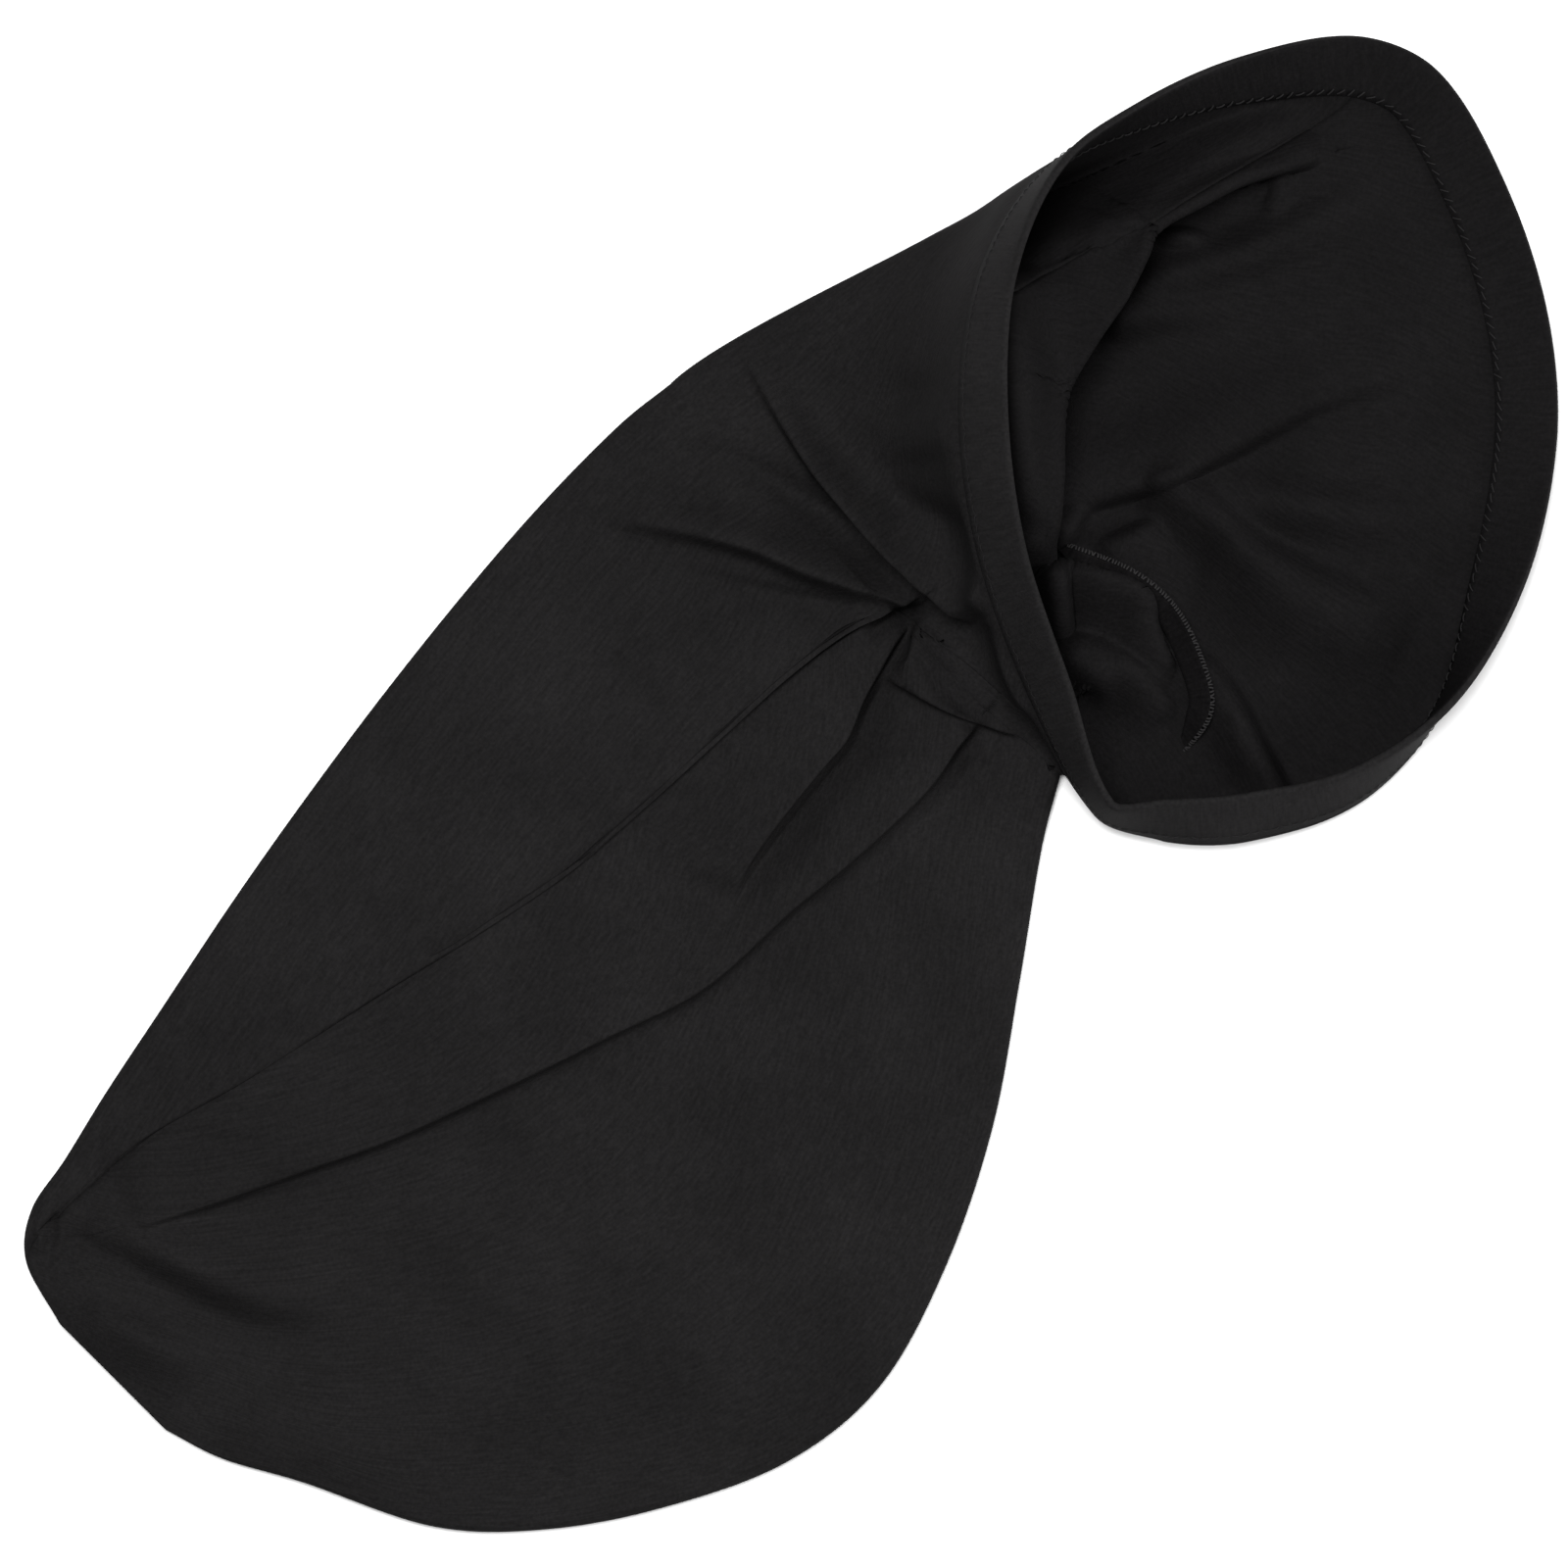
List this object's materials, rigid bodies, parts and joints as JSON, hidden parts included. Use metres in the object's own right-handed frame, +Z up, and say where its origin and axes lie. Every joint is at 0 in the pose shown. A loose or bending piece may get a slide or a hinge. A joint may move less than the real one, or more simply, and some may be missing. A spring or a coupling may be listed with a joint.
{
  "type": "sleep bonnet",
  "caption": "Long black knit sleep bonnet lying flat, with a gaping hemmed mouth, a twisted neck and a long flat hair pouch.",
  "frame": {"origin": "middle of the floor outline's box, on the surface that the bonnet lies on", "axes": "+X along the bonnet from the pouch's closed end to the mouth, +Y to its left, +Z up"},
  "size_m": [0.474, 0.2206, 0.0623],
  "materials": {
    "knit": "soft satin stretch knit with fine wales",
    "hem": "the same knit, folded double and stitched",
    "overlock": "cut edge covered with overlock thread"
  },
  "bodies": {
    "root": {"front_panel": "knit", "back_panel": "knit", "hem_band": "hem", "seam_allowance": "overlock"}
  },
  "joints": []
}
